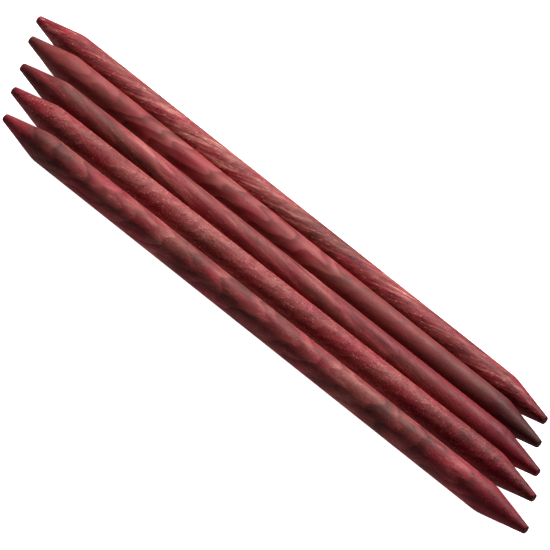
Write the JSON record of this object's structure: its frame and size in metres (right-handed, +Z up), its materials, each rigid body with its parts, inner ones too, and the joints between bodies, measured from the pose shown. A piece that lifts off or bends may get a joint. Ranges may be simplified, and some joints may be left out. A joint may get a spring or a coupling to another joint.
{
  "type": "knitting needles",
  "caption": "Straight double-pointed knitting needles of dyed laminated birch, with round shafts and short blunt cones, lying side by side.",
  "frame": {"origin": "on the surface the needles lie on, under the middle of the row", "axes": "+X along the needles, towards the end that the front needles reach further; +Y towards the back of the row; +Z up"},
  "size_m": [0.229, 0.0538, 0.009],
  "materials": {
    "dyed_birch": "satin varnish over crimson and brown dyed laminated birch"
  },
  "bodies": {
    "needle_1": {"needle_1": "dyed_birch"},
    "needle_2": {"needle_2": "dyed_birch"},
    "needle_3": {"needle_3": "dyed_birch"},
    "needle_4": {"needle_4": "dyed_birch"},
    "needle_5": {"needle_5": "dyed_birch"}
  },
  "joints": [
    {"name": "lift_1", "type": "slide", "parent": "needle_3", "child": "needle_1", "axis": [0, 0, 1], "range_m": [0, 0.06]},
    {"name": "lift_2", "type": "slide", "parent": "needle_3", "child": "needle_2", "axis": [0, 0, 1], "range_m": [0, 0.06]},
    {"name": "lift_4", "type": "slide", "parent": "needle_3", "child": "needle_4", "axis": [0, 0, 1], "range_m": [0, 0.06]},
    {"name": "lift_5", "type": "slide", "parent": "needle_3", "child": "needle_5", "axis": [0, 0, 1], "range_m": [0, 0.06]}
  ]
}
